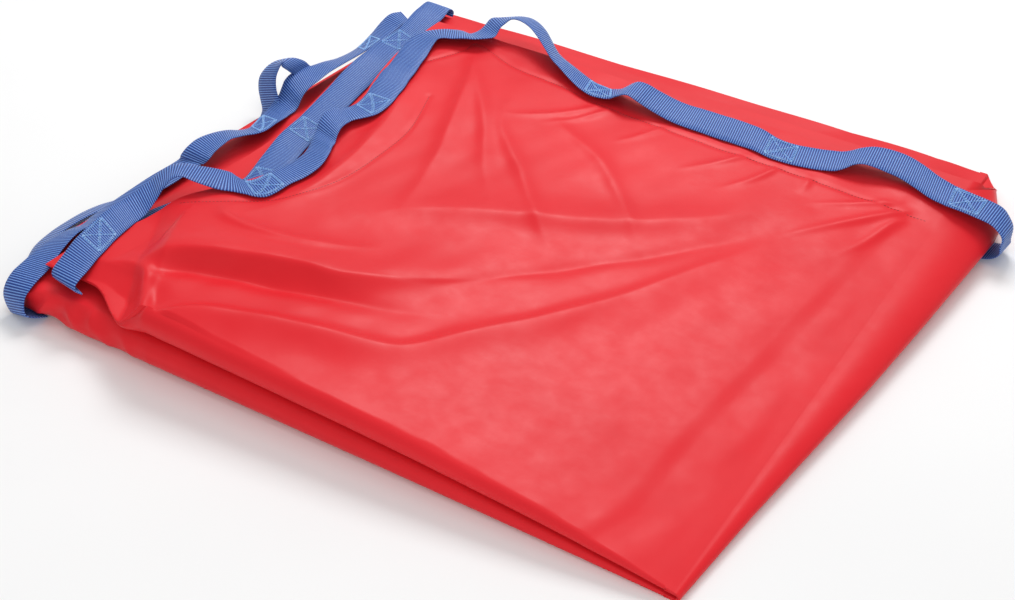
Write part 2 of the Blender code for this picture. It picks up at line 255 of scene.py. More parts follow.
def relief(layer, x, y):
    """How far the real cloth lies over or under the CAD model's smooth quarter."""
    x, y = np.broadcast_arrays(np.asarray(x, float), np.asarray(y, float))
    if layer == "top":
        (ax, ay), (bx, by) = SINK_LINE
        left_of = ((x - ax) * (by - ay) - (y - ay) * (bx - ax)) / np.hypot(bx - ax, by - ay)
        sink = np.clip(left_of / SINK_WIDTH, 0, 1) * (
            -SINK_DEPTH * smooth((-0.15 - y) / 0.05)
            - FACET_DEPTH * np.clip((FACET_FROM - y) / FACET_WIDTH, 0, 1))
        rim_x = np.interp(y, RIM_AT, RIM_X)
        rim = RIM_STEP * smooth((rim_x - x) / RIM_WIDTH)
        fade = smooth((AXIS_X - BAND_IN - x) / 0.020)
        grooves = np.zeros(x.shape)
        for line in HEM_LINES:
            signed, _ = line_distance(smooth_line(line, 4) / 1000.0, x, y)
            grooves -= HEM_GROOVE * np.exp(-(signed / 0.0028) ** 2)
        return (crest(x, y) + sink + rim + grooves * fade + ripple(x, y, 3, 0.11, 0.0006) * fade
                + ripple(x, y, 4, 0.035, 0.00022) * fade)
    if layer == "bottom":
        back = smooth((y - 0.20) / 0.05) * smooth((AXIS_X - BAND_IN - x) / 0.05)
        return back * (0.0016 + np.abs(ripple(x, y, 5, 0.16, 0.0016)))
    if layer == "upper":
        return CORNER_LIFT * smooth((-0.18 - x) / 0.05) * smooth((-0.16 - y) / 0.08)
    return np.zeros(x.shape)


def front_line(layer, x):
    """The upper front fold draws back at its left end."""
    drawn = layer in ("upper", "top")
    return FRONT + drawn * RETREAT * smooth((RETREAT_FROM - x) / RETREAT_OVER)


def underside(layer, x, y):
    level = plain_underside(layer, x, y) + relief(layer, x, y)
    if layer == "top":
        level = np.maximum(level, underside("upper", x, y) + CLOTH + 0.0006)
    return level


def upper_face(layer, x, y):
    if layer == "ground":
        return np.zeros(np.broadcast(x, y).shape)
    return underside(layer, x, y) + CLOTH


def left_hem(layer, y):
    front, back, bay = LEFT_HEM[layer]
    drawn = FRONT_DRAW.get(layer, 0.0) * smooth((FRONT_DRAW_FROM - y) / FRONT_DRAW_OVER)
    return (mix(front, back, along_side(y)) + drawn
            + bay * np.exp(-((y - BAY_MIDDLE) / BAY_SPREAD) ** 2))


def back_hem(layer, x):
    return mix(*BACK_HEM[layer], along_front(x))


def front_bend(lower, upper, x):
    """Radius and middle height of the bend that joins two quarters along the front edge."""
    bottom, top = underside(lower, x, FRONT), upper_face(upper, x, FRONT)
    return (top - bottom) / 2, (top + bottom) / 2


# ---------------------------------------------------------------- materials
def node(tree, kind, **values):
    made = tree.nodes.new(kind)
    for name, value in values.items():
        if hasattr(made, name):
            setattr(made, name, value)
        else:
            made.inputs[name.replace("_", " ")].default_value = value
    return made


def new_material(name):
    made = bpy.data.materials.new(name)
    made.use_nodes = True
    return made, made.node_tree, made.node_tree.nodes["Principled BSDF"]


def ramp(tree, source, stops):
    made = tree.nodes.new("ShaderNodeValToRGB")
    while len(made.color_ramp.elements) < len(stops):
        made.color_ramp.elements.new(0.5)
    for element, (place, colour) in zip(made.color_ramp.elements, stops):
        element.position = place
        element.color = (*colour, 1.0)
    tree.links.new(source, made.inputs["Fac"])
    return made.outputs["Color"]


def cloth_material():
    """Red coated cloth: satin gloss, a fine woven grain under the coating."""
    made, tree, shader = new_material("coated_cloth_red")
    place = tree.nodes.new("ShaderNodeTexCoord").outputs["Object"]
    patches = node(tree, "ShaderNodeTexNoise", Scale=9.0, Detail=5.0, Roughness=0.6)
    tree.links.new(place, patches.inputs["Vector"])
    tree.links.new(ramp(tree, patches.outputs["Fac"], [
        (0.30, (0.70, 0.016, 0.024)), (0.70, (0.76, 0.020, 0.029))]),
        shader.inputs["Base Color"])
    gloss = node(tree, "ShaderNodeTexNoise", Scale=60.0, Detail=4.0)
    tree.links.new(place, gloss.inputs["Vector"])
    spread = node(tree, "ShaderNodeMapRange", From_Min=0.3, From_Max=0.7, To_Min=0.34,
                  To_Max=0.44)
    tree.links.new(gloss.outputs["Fac"], spread.inputs["Value"])
    tree.links.new(spread.outputs["Result"], shader.inputs["Roughness"])
    shader.inputs["Specular IOR Level"].default_value = 0.16
    weave = []
    for direction in ("X", "Y"):
        threads = node(tree, "ShaderNodeTexWave", bands_direction=direction, Scale=320.0,
                       Distortion=0.6, Detail=1.0)
        tree.links.new(place, threads.inputs["Vector"])
        weave.append(threads.outputs["Fac"])
    woven = node(tree, "ShaderNodeMath", operation="MULTIPLY")
    tree.links.new(weave[0], woven.inputs[0])
    tree.links.new(weave[1], woven.inputs[1])
    fine = node(tree, "ShaderNodeBump", Strength=0.10, Distance=0.0002)
    tree.links.new(woven.outputs[0], fine.inputs["Height"])
    crumple = node(tree, "ShaderNodeTexNoise", Scale=38.0, Detail=6.0, Roughness=0.55)
    tree.links.new(place, crumple.inputs["Vector"])
    soft = node(tree, "ShaderNodeBump", Strength=0.14, Distance=0.0012)
    tree.links.new(crumple.outputs["Fac"], soft.inputs["Height"])
    tree.links.new(fine.outputs["Normal"], soft.inputs["Normal"])
    tree.links.new(soft.outputs["Normal"], shader.inputs["Normal"])
    return made


def math_node(tree, operation, first, second):
    """The output of a Math node. Each operand is a number or another node's output."""
    made = tree.nodes.new("ShaderNodeMath")
    made.operation = operation
    for socket, value in zip(made.inputs, (first, second)):
        if isinstance(value, float):
            socket.default_value = value
        else:
            tree.links.new(value, socket)
    return made.outputs[0]


def webbing_material():
    """Blue webbing. Its map counts ribs along it and yarns across it. The base colour is painted
    lighter on the rib crests as a painted highlight and darker between them as painted shade."""
    made, tree, shader = new_material("webbing_blue")
    flat = tree.nodes.new("ShaderNodeUVMap")
    flat.uv_map = "ribbon"
    parts = tree.nodes.new("ShaderNodeSeparateXYZ")
    tree.links.new(flat.outputs["UV"], parts.inputs[0])
    rib = math_node(tree, "COSINE", math_node(tree, "MULTIPLY", parts.outputs["X"], 2 * pi), 0.0)
    yarn = math_node(tree, "COSINE", math_node(tree, "MULTIPLY", parts.outputs["Y"], 2 * pi), 0.0)
    speck = node(tree, "ShaderNodeTexNoise", Scale=2.2, Detail=3.0, Roughness=0.7)
    tree.links.new(flat.outputs["UV"], speck.inputs["Vector"])
    height = math_node(tree, "ADD", math_node(tree, "MULTIPLY", rib, 0.36),
                  math_node(tree, "MULTIPLY", yarn, 0.07))
    height = math_node(tree, "ADD", height, speck.outputs["Fac"])
    # painted light: the ramp over the rib waves gives light blue rib crests, a painted highlight,
    # and dark blue grooves, painted shade; the noise adds random tone
    tree.links.new(ramp(tree, height, [
        (0.10, (0.006, 0.018, 0.15)), (0.45, (0.022, 0.072, 0.34)), (0.66, (0.050, 0.15, 0.50)),
        (0.92, (0.26, 0.44, 0.80))]), shader.inputs["Base Color"])
    shader.inputs["Roughness"].default_value = 0.42
    shader.inputs["Specular IOR Level"].default_value = 0.26
    raised = node(tree, "ShaderNodeBump", Strength=0.35, Distance=0.0003)
    tree.links.new(height, raised.inputs["Height"])
    tree.links.new(raised.outputs["Normal"], shader.inputs["Normal"])
    return made


def thread_material(name, colour, bright):
    made, tree, shader = new_material(name)
    place = tree.nodes.new("ShaderNodeTexCoord").outputs["Object"]
    twist = node(tree, "ShaderNodeTexNoise", Scale=900.0, Detail=2.0)
    tree.links.new(place, twist.inputs["Vector"])
    tree.links.new(ramp(tree, twist.outputs["Fac"], [(0.35, colour), (0.65, bright)]),
                   shader.inputs["Base Color"])
    shader.inputs["Roughness"].default_value = 0.5
    raised = node(tree, "ShaderNodeBump", Strength=0.4, Distance=0.0002)
    tree.links.new(twist.outputs["Fac"], raised.inputs["Height"])
    tree.links.new(raised.outputs["Normal"], shader.inputs["Normal"])
    return made


RED_CLOTH = cloth_material()
BLUE_WEBBING = webbing_material()
BLUE_THREAD = thread_material("thread_light_blue", (0.10, 0.29, 0.70), (0.42, 0.64, 0.92))
RED_THREAD = thread_material("thread_red", (0.22, 0.003, 0.006), (0.42, 0.006, 0.012))


# ---------------------------------------------------------------- meshes
def mesh_object(name, points, faces, material, uv=None):
    mesh = bpy.data.meshes.new(name)
    mesh.from_pydata([tuple(p) for p in points], [], faces)
    if uv is not None:
        layer = mesh.uv_layers.new(name="ribbon")
        corners = np.array([loop.vertex_index for loop in mesh.loops])
        layer.data.foreach_set("uv", uv[corners].ravel())
    mesh.shade_smooth()
    mesh.materials.append(material)
    thing = bpy.data.objects.new(name, mesh)
    bpy.context.scene.collection.objects.link(thing)
    return thing


def grid_faces(rows, columns, wrap=False):
    across = columns if wrap else columns - 1
    return [(r * columns + c, r * columns + (c + 1) % columns,
             (r + 1) * columns + (c + 1) % columns, (r + 1) * columns + c)
            for r in range(rows - 1) for c in range(across)]


def apply_modifiers(thing):
    graph = bpy.context.evaluated_depsgraph_get()
    done = bpy.data.meshes.new_from_object(thing.evaluated_get(graph))
    thing.modifiers.clear()
    thing.data = done
    done.shade_smooth()
    done.set_sharp_from_angle(angle=radians(50))


def sheet_object(name, grid, material):
    """An open grid of points, shape rows x columns x 3, made into cloth of even thickness."""
    rows, columns, _ = grid.shape
    thing = mesh_object(name, grid.reshape(-1, 3), grid_faces(rows, columns), material)
    solid = thing.modifiers.new("thickness", "SOLIDIFY")
    solid.thickness, solid.offset = SKIN, 0.0
    apply_modifiers(thing)
    return thing


CRUMPLE = 0.0034         # depth of the dents in the front rolls near their left ends
CRUMPLE_FROM, CRUMPLE_OVER = -0.13, 0.10
SHEET_LEFT = -0.36       # left of every hem
SIDE_PIECES = 5          # lengths of each side bend
SIDE_ROWS = 26           # rows of mesh in each of them
SIDE_START = FRONT + 0.0005
TURN_SHARE = 0.96        # share of a side bend's radius over which it turns


def fold_axis():
    """The hinge's direction, and the direction square to it that points out of the pack."""
    axis = np.array(HINGE["axis"], float)
    return axis, np.array([0.0, -axis[2], axis[1]])


def settle(thing):
    """Attaches a piece to the upper half and gives it a mesh of its own."""
    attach(thing, "upper_half")
    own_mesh(thing)


def lie_down(thing):
    """Gives a piece that hangs loose over the side fold a mesh of its own."""
    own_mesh(thing)


def flat_grid(layer, radius, columns, count):
    """Points of a quarter, from its front bend to its back hem. radius holds places along X and
    the front bend's radius there."""
    s, t = np.meshgrid(np.linspace(0, 1, columns), np.linspace(0, 1, count))
    guess = mix(FRONT, back_hem(layer, 0.0), t)
    x = mix(left_hem(layer, guess), AXIS_X - BAND_IN, s)
    start = front_line(layer, x) + np.interp(x, *radius)
    y = mix(start, back_hem(layer, x), t)
    return np.stack([x, y, underside(layer, x, y) + CLOTH / 2], axis=2)


def half_sheet(name, lower, upper, columns, steps):
    """Two quarters and the front bend between them, in one cloth: up from the lower quarter's
    back hem, round the bend and to the upper quarter's back hem."""
    places = np.linspace(SHEET_LEFT, AXIS_X, 300)
    radius, level = front_bend(lower, upper, places)
    low = flat_grid(lower, (places, radius), columns, steps[0])[::-1]
    high = flat_grid(upper, (places, radius), columns, steps[2])
    share = np.linspace(0, 1, steps[1] + 1)[1:-1, None]
    x = mix(low[-1, :, 0], high[0, :, 0], share)
    turn = pi * (share - 0.5)
    middle = np.interp(x, places, radius) - CLOTH / 2
    dents = np.abs(ripple(x, turn * 0.014, 8, 0.04, 1.0))
    crumple = -CRUMPLE * smooth((CRUMPLE_FROM - x) / CRUMPLE_OVER) * dents
    middle = middle + crumple * np.cos(turn)
    bend = np.stack([x, front_line(upper, x) + np.interp(x, places, radius) - middle * np.cos(turn),
                     np.interp(x, places, level) + middle * np.sin(turn)], axis=2)
    return sheet_object(name, np.concatenate([low, bend, high]), RED_CLOTH)


def side_profile(layers, cut, radius_at, recess=0.0, bulge=0.0):
    """Points of the side fold between two shares of its length: in along the lower quarter,
    round the hinge line and back along the upper quarter."""
    lower, upper = layers
    inner_x = AXIS_X - BAND_IN
    rows = int(SIDE_ROWS * SIDE_PIECES * (cut[1] - cut[0])) + 1
    along = np.linspace(cut[0], cut[1], rows)[:, None]
    low, high = (mix(SIDE_START, BACK_HEM[layer][1], along) for layer in layers)
    x = np.linspace(inner_x, AXIS_X, 6)[None, :-1]
    z = plain_underside(lower, x, low) + CLOTH / 2 + recess
    below = np.stack(np.broadcast_arrays(x, low, z), 2)
    share = np.linspace(0, 1, 19)[None, :]
    turn, y = pi * (share - 0.5), mix(low, high, share)
    reach = radius_at(y) - CLOTH / 2 - recess
    wide = reach + bulge * np.interp(y, *SIDE_BULGE)
    lift = relief(upper, AXIS_X, high) * smooth(2 * share - 1)
    bend = np.stack([AXIS_X + wide * np.cos(turn), y,
                     axis_height(y) + reach * np.sin(turn) + lift], 2)
    x = np.linspace(AXIS_X, inner_x, 6)[None, 1:]
    z = plain_underside(upper, x, high) + relief(upper, x, high) + CLOTH / 2 - recess
    above = np.stack(np.broadcast_arrays(x, high, z), 2)
    return np.concatenate([below, bend, above], 1)


def side_bands(name, radius_at, layers, nodes, recess=0.0):
    """The bend of the side fold round the hinge line, in short lengths."""
    cuts = np.linspace(0, 1, SIDE_PIECES + 1)
    _, outward = fold_axis()
    for number, cut in enumerate(zip(cuts, cuts[1:]), 1):
        grid = side_profile(layers, cut, radius_at, recess)
        band = sheet_object(f"{name}_{number}", grid, RED_CLOTH)
        y = mix(FRONT, BACK_HEM[layers[0]][1], cut[0])
        reach = outward * float(radius_at(y)) * TURN_SHARE
        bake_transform(band)
        if number == 1:
            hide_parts(*nodes)


def side_slack():
    """A skin over the outer side bend, with the outline of its loose cloth. It sticks out
    further towards the back."""
    grid = side_profile(("bottom", "top"), (0, 1), axis_height, bulge=1.0)
    slack = sheet_object("cloth_side_slack", grid, RED_CLOTH)
    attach(slack, "lower_half")
    lie_down(slack)


# ---------------------------------------------------------------- webbing
# Each station: the middle of the webbing in millimetres, and the direction of its width in
# hundredths. Most stations of the top hem, the upper and lower hems, the standing loop and the side
# loop were worked out by a separate program, from edges read off the picture. The rest were set one
# by one.
TOP_HEM = [
    (294, 198, 40, -12, 99, 9), (278, 202, 41, -13, 98, 17), (262, 208, 43, -12, 97, 20),
    (247, 212, 45, -10, 98, 18), (234, 213, 46, -12, 98, 16), (222, 212, 47, -14, 99, 9),
    (213, 210, 47, -14, 99, 2), (205, 207, 45, -17, 99, -1), (198, 202, 42, -20, 98, 3),
    (189, 198, 39, -22, 97, 8), (178, 195, 37, -22, 97, 10), (166, 192, 37, -21, 97, 9),
    (151, 189, 37, -18, 98, 7), (135, 189, 37, -15, 99, 9), (119, 191, 38, -14, 98, 16),
    (104, 192, 38, -14, 97, 21), (88, 192, 39, -14, 97, 22), (73, 192, 40, -13, 97, 20),
    (58, 191, 42, -10, 98, 18), (42, 191, 44, -7, 99, 14), (26, 191, 47, -6, 99, 10),
    (11, 191, 51, -7, 100, 7), (1, 190, 55, -9, 100, 4), (-8, 190, 56, -15, 99, -6),
    (-15, 188, 53, -25, 94, -22), (-21, 187, 48, -37, 88, -31), (-28, 186, 43, -43, 87, -24),
    (-36, 186, 41, -37, 91, -16), (-47, 187, 40, -30, 94, -13), (-60, 191, 41, -26, 96, -14),
    (-75, 198, 43, -24, 95, -20), (-89, 205, 46, -22, 93, -30), (-100, 211, 49, -21, 91, -35),
    (-109, 216, 53, -24, 91, -33), (-119, 223, 57, -23, 92, -30), (-129, 230, 60, -20, 93, -31),
    (-141, 237, 62, -19, 92, -33), (-153, 242, 62, -21, 91, -35), (-163, 243, 61, -30, 87, -38),
    (-170, 240, 60, -48, 79, -39), (-176, 236, 58, -65, 70, -30), (-181, 231, 56, -75, 64, -16),
    (-182, 224, 52, -80, 58, -13), (-183, 217, 49, -82, 54, -19), (-186, 210, 47, -75, 60, -27),
    (-192, 205, 46, -63, 71, -31), (-200, 203, 47, -56, 79, -26), (-208, 200, 49, -50, 84, -21),
    (-216, 197, 50, -50, 84, -21), (-224, 190, 50, -69, 70, -20), (-228, 179, 50, -94, 33, -10),
    (-227, 165, 49, -100, 7, -3), (-223, 151, 48, -100, 1, -2), (-219, 135, 47, -100, 1, -4),
    (-215, 120, 46, -100, -2, -2), (-211, 104, 45, -100, -6, 3), (-206, 89, 44, -100, -7, 4),
    (-203, 75, 43, -100, -2, 1), (-199, 59, 43, -100, 7, -2), (-198, 41, 44, -96, 27, -6),
    (-201, 28, 47, -85, 51, -13), (-204, 19, 52, -78, 61, -14), (-204, 11, 56, -80, 60, -4),
    (-204, 2, 58, -85, 53, 7), (-203, -6, 58, -90, 43, 8), (-202, -13, 55, -93, 36, 4),
    (-200, -19, 50, -94, 33, -2), (-197, -27, 47, -95, 30, -11), (-192, -38, 44, -94, 27, -19),
    (-188, -49, 43, -95, 25, -20), (-186, -60, 43, -96, 24, -16), (-186, -71, 43, -96, 25, -13),
    (-188, -81, 43, -95, 30, -8), (-191, -93, 44, -93, 37, -6), (-192, -106, 46, -91, 42, -3),
    (-196, -116, 47, -89, 46, 0), (-203, -121, 48, -85, 52, -3), (-212, -122, 50, -77, 64, -4),
    (-222, -123, 53, -62, 79, -1), (-230, -127, 56, -46, 89, -2), (-237, -133, 60, -41, 91, -8),
    (-245, -138, 63, -43, 89, -15), (-253, -141, 65, -47, 86, -20), (-260, -146, 65, -56, 81, -17),
    (-264, -152, 63, -66, 74, -11), (-267, -159, 59, -74, 67, -6), (-269, -166, 54, -79, 61, -1),
    (-270, -174, 51, -83, 55, 8), (-271, -183, 48, -86, 49, 15), (-272, -194, 47, -89, 42, 17),
    (-270, -209, 46, -91, 35, 20), (-268, -226, 46, -93, 30, 19), (-265, -242, 46, -95, 24, 18),
    (-262, -259, 46, -98, 17, 14), (-260, -274, 45, -99, 10, 5), (-259, -283, 43, -100, 8, -1),
    (-258, -288, 40, -99, 15, -7), (-255, -288, 36, -95, 28, -15), (-250, -284, 33, -88, 43, -20)]
TOP_HEM_BOXES = [12.6, 27.5, 58.5, 74.5, 91.6]
UPPER_HEM = [
    (-270, 268, 26, -100, 9, 0), (-270, 270, 31, -100, 9, 0), (-270, 263, 36, -100, 9, 0),
    (-268, 248, 36, -99, 10, 12), (-266, 232, 36, -97, 17, 18), (-264, 216, 35, -96, 24, 17),
    (-263, 201, 34, -95, 27, 11), (-264, 185, 34, -97, 23, 4), (-265, 167, 34, -99, 14, 2),
    (-263, 151, 34, -99, 9, 9), (-260, 135, 34, -97, -2, 22), (-257, 115, 34, -96, -8, 28),
    (-254, 93, 34, -97, -4, 23), (-251, 72, 33, -99, -1, 17), (-248, 53, 33, -99, -1, 14),
    (-245, 34, 33, -99, 4, 12), (-242, 14, 33, -98, 15, 13), (-239, -6, 34, -97, 15, 17),
    (-236, -23, 35, -99, 1, 16), (-231, -42, 36, -99, -13, 8), (-226, -60, 37, -98, -17, 3),
    (-221, -77, 38, -98, -18, -2), (-219, -93, 38, -99, -8, -8), (-224, -115, 37, -98, 10, 0),
    (-240, -140, 36, -96, 25, 0), (-254, -170, 36, -98, 20, 0), (-262, -210, 36, -100, 0, 0),
    (-262, -245, 37, -100, 0, 0), (-261, -270, 37, -100, 0, 0)]
UPPER_HEM_BOXES = [7, 16.5, 21.5]
LOWER_HEM = [
    (-291, 235, 30, -81, 59, -8), (-295, 226, 31, -89, 44, -9), (-297, 214, 28, -91, 38, -15),
    (-296, 192, 26, -85, 45, -28), (-293, 159, 27, -74, 57, -36), (-293, 129, 30, -71, 63, -31),
    (-293, 106, 34, -74, 65, -16), (-293, 88, 36, -79, 61, -1), (-294, 75, 37, -83, 54, 12),
    (-295, 64, 36, -87, 44, 22), (-295, 56, 33, -90, 36, 26), (-295, 51, 28, -92, 34, 21),
    (-295, 46, 24, -93, 35, 10), (-295, 37, 21, -94, 33, -1), (-292, 25, 20, -94, 30, -14),
    (-289, 9, 20, -92, 31, -24), (-286, -6, 22, -87, 41, -28), (-286, -17, 25, -77, 54, -34),
    (-289, -27, 30, -69, 63, -36), (-292, -40, 35, -71, 65, -27), (-294, -54, 37, -83, 54, -13),
    (-296, -68, 37, -94, 33, -2), (-296, -79, 35, -99, 16, 1), (-299, -84, 30, -99, 12, -6),
    (-302, -88, 25, -96, 16, -22), (-303, -120, 24, -98, 10, -15), (-304, -160, 24, -95, 15, -25),
    (-305, -190, 24, -90, 20, -38), (-306, -211, 24, -86, 21, -47), (-309, -230, 26, -90, 5, -43),
    (-306, -253, 29, -95, 5, -29), (-301, -274, 31, -99, 4, -14), (-299, -289, 30, -99, -1, -12),
    (-298, -300, 27, -98, 3, -18), (-298, -306, 21, -95, 9, -28), (-296, -309, 14, -91, 18, -36),
    (-293, -310, 8, -88, 25, -40), (-291, -307, 3, -94, 18, -28), (-291, -295, 1, -100, 0, 0)]
LOWER_HEM_BOXES = [3.5, 15.5]
STANDING_LOOP = [
    (-310, 38, 9, -92, 11, -38), (-312, 43, 14, -90, 14, -42), (-317, 47, 21, -90, 17, -40),
    (-321, 50, 29, -90, 20, -39), (-322, 53, 39, -89, 24, -38), (-320, 58, 47, -85, 34, -40),
    (-316, 62, 52, -74, 55, -38), (-312, 66, 54, -52, 76, -38), (-309, 69, 52, -25, 94, -22),
    (-306, 76, 46, -9, 98, -16), (-305, 83, 38, -3, 98, -20), (-304, 92, 30, 5, 98, -20),
    (-303, 98, 22, 11, 98, -16)]
SIDE_LOOP = [
    (294, 198, 40, -12, 99, 9), (301, 197, 40, -10, 99, 7), (310, 197, 39, -7, 100, 4),
    (324, 196, 38, 1, 100, 3), (336, 195, 36, 2, 100, 0), (344, 192, 32, 0, 100, -7),
    (349, 189, 27, 0, 99, -14),
    (350, 184, 20, 1, 98, -21), (349, 187, 12, 3, 99, -12), (341, 190, 5, 5, 99, -6),
    (328, 192, 2, 8, 99, 0), (314, 192, 1.4, 8, 99, 0)]
SIDE_LOOP_BOXES = [0.9]
BOTTOM_SIDE = [
    (-296, -286, 1.2, -100, 0, 0), (-312, -275, 2, -98, 15, -8), (-330, -255, 6, -90, 28, -30),
    (-341, -236, 9, -82, 38, -42), (-344, -214, 10, -80, 42, -44), (-344, -196, 10, -78, 45, -44),
    (-342, -178, 10, -78, 45, -43), (-338, -160, 9, -80, 42, -42), (-331, -142, 6, -88, 35, -32),
    (-321, -112, 2, -98, 12, -8), (-314, -50, 1.2, -100, 0, 0), (-307, 30, 1.2, -100, 0, 0),
    (-300, 110, 1.2, -100, 0, 0), (-293, 190, 1.2, -100, 0, 0), (-286, 270, 1.2, -100, 0, 0)]
BOTTOM_BACK = [
    (-284, 288, 1.2, 0, 100, 0), (-142, 288, 1.2, 0, 100, 0), (0, 288, 1.2, 0, 100, 0),
    (145, 288, 1.2, 0, 100, 0), (290, 286, 1.2, 0, 100, 0)]
LOWER_BACK = [
    (-266, 252, 16.0, 0, 100, 0), (-90, 250, 12.5, 0, 100, 0), (90, 247, 9.5, 0, 100, 0),
    (286, 244, 7.8, 0, 100, 0)]
PROFILE = [(-1, 0), (-0.96, 0.8), (-0.55, 1), (0, 1), (0.55, 1), (0.96, 0.8),
           (1, 0), (0.96, -0.8), (0.55, -1), (0, -1), (-0.55, -1), (-0.96, -0.8)]
FINE = 10                # samples between two stations
YARN = 0.0011            # width of one warp yarn


def webbing_lines(stations):
    """Smooth centre line and edge vectors of the webbing through its stations."""
    fine = smooth_line(stations, FINE)
    edge = fine[:, 3:] / np.linalg.norm(fine[:, 3:], axis=1)[:, None]
    return fine[:, :3] / 1000.0, edge * WEB_WIDTH / 2


def rest_on(layer, centre, edge):
    """Lifts the webbing where it would sink into the quarter under it."""
    need = np.zeros(len(centre))
    for across in (-1.0, -0.5, 0.0, 0.5, 1.0):
        p = centre + edge * across
        over = ((p[:, 0] > left_hem(layer, p[:, 1]) - 0.001)
                & (p[:, 1] > front_line(layer, p[:, 0]) + 0.014)
                & (p[:, 1] < back_hem(layer, p[:, 0]) + 0.001))
        foot = upper_face(layer, p[:, 0], p[:, 1]) + GAP + WEB / 2
        need = np.maximum(need, np.where(over, foot - p[:, 2], 0.0))
    window = FINE // 2
    padded = np.pad(need, window, mode="edge")
    widest = np.array([padded[i:i + 2 * window + 1].max() for i in range(len(need))])
    padded = np.pad(widest, window, mode="edge")
    lift = np.convolve(padded, np.ones(2 * window + 1) / (2 * window + 1), "valid")
    lifted = centre.copy()
    lifted[:, 2] += lift
    return lifted


def ribbon(name, centre, edge):
    """Webbing along a centre line, with edge the vectors from it to one edge. Its ribs are
    rows of thicker and thinner mesh."""
    legs = np.linalg.norm(np.diff(centre, axis=0), axis=1)
    length = np.concatenate([[0], np.cumsum(legs)])
    ribs = max(int(round(length[-1] / RIB)), 2)
    count = ribs * RIB_SAMPLES + 1
    even = np.linspace(0, length[-1], count)

    def along(values):
        return np.stack([np.interp(even, length, values[:, k]) for k in range(3)], axis=1)

    centre, edge = along(centre), along(edge)
    heading = np.gradient(centre, axis=0)
    up = np.cross(edge, heading)
    up /= np.linalg.norm(up, axis=1)[:, None]
    phase = np.linspace(0, ribs, count)
    thick = (WEB / 2 * (1 + RIB_RELIEF * np.cos(2 * pi * phase)))[:, None]
    rows = [centre + edge * across + up * thick * over * 0.85 for across, over in PROFILE]
    points = np.stack(rows, axis=1).reshape(-1, 3)
    sides = len(PROFILE)
    faces = grid_faces(count, sides, wrap=True)
    faces += [tuple(range(sides))[::-1], tuple(range(len(points) - sides, len(points)))]
    reach = np.array([across * WEB_WIDTH / 2 / YARN for across, _ in PROFILE])
    uv = np.stack([np.repeat(phase, sides), np.tile(reach, count)], axis=1)
    thing = mesh_object(name, points, faces, BLUE_WEBBING, uv)
    return thing, (even, centre, edge, up)


class Stitches:
    """Collects the dashes of thread for one body, and makes one mesh of them."""

    def __init__(self, radius=0.00045):
        self.points, self.faces, self.radius = [], [], radius

    def dash(self, a, b, up):
        """One stitch from a to b, a small ridge that dips at its ends."""
        along = (b - a) / np.linalg.norm(b - a)
        side = np.cross(up, along)
        base = len(self.points)
        for t, swell in ((0.0, 0.35), (0.25, 1.0), (0.75, 1.0), (1.0, 0.35)):
            middle = mix(a, b, t)
            for turn in (0, 60, 120, 180, 240, 300):
                self.points.append(middle + self.radius * swell * (
                    side * cos(radians(turn)) + up * sin(radians(turn))))
        self.faces += [tuple(base + i for i in f) for f in grid_faces(4, 6, wrap=True)]
        self.faces += [tuple(base + i for i in range(6))[::-1],
                       tuple(base + 18 + i for i in range(6))]

    def line(self, points, ups, stitch=0.0030, share=0.72):
        """Dashes along a line of points."""
        points, ups = np.array(points), np.array(ups)
        length = np.concatenate([[0], np.cumsum(np.linalg.norm(np.diff(points, axis=0), axis=1))])
        count = max(int(length[-1] / stitch), 1)

        def at(distance, values):
            return np.array([np.interp(distance, length, values[:, k]) for k in range(3)])

        for i in range(count):
            start = (i + (1 - share) / 2) * length[-1] / count
            end = start + share * length[-1] / count
            self.dash(at(start, points), at(end, points), at((start + end) / 2, ups))

    def make(self, name, material, slot):
        thing = mesh_object(name, self.points, self.faces, material)
        return thing


BOX_SIDE = 0.026
BOX_ACROSS = 0.80        # half height of a box, as a share of half the webbing's width
BOX_MARGIN = 0.002       # least distance from a box to the webbing's end
BOX_PASSES = (-0.0008, 0.0, 0.0008)      # each seam of a stitch box is sewn three times


def stitch_box(stitches, lines, place):
    """A square of stitches with a cross in it, round a place on a ribbon."""
    even, centre, edge, up = lines
    half = BOX_SIDE / 2
    place = min(max(place, half + BOX_MARGIN), even[-1] - half - BOX_MARGIN)
    corners = {"a": (-half, -BOX_ACROSS), "b": (half, -BOX_ACROSS),
               "c": (half, BOX_ACROSS), "d": (-half, BOX_ACROSS)}
    for first, last in ("ab", "bc", "cd", "da", "ac", "bd"):
        (s0, w0), (s1, w1) = corners[first], corners[last]
        for shift in BOX_PASSES:
            path, ups = [], []
            for t in np.linspace(0, 1, 9):
                s, w = place + mix(s0, s1, t), mix(w0, w1, t) * (1 - abs(shift) * 60)
                s += shift if s0 == s1 or first + last in ("ac", "bd") else 0.0
                w += 0.0 if s0 == s1 else shift / (WEB_WIDTH / 2)
                p, e, n = (np.array([np.interp(s, even, v[:, k]) for k in range(3)])
                           for v in (centre, edge, up))
                top = n if n[2] > 0 else -n
                path.append(p + e * w + top * (WEB / 2 + 0.0001))
                ups.append(top)
            stitches.line(path, ups, stitch=0.0023 + shift * 0.2, share=0.62)


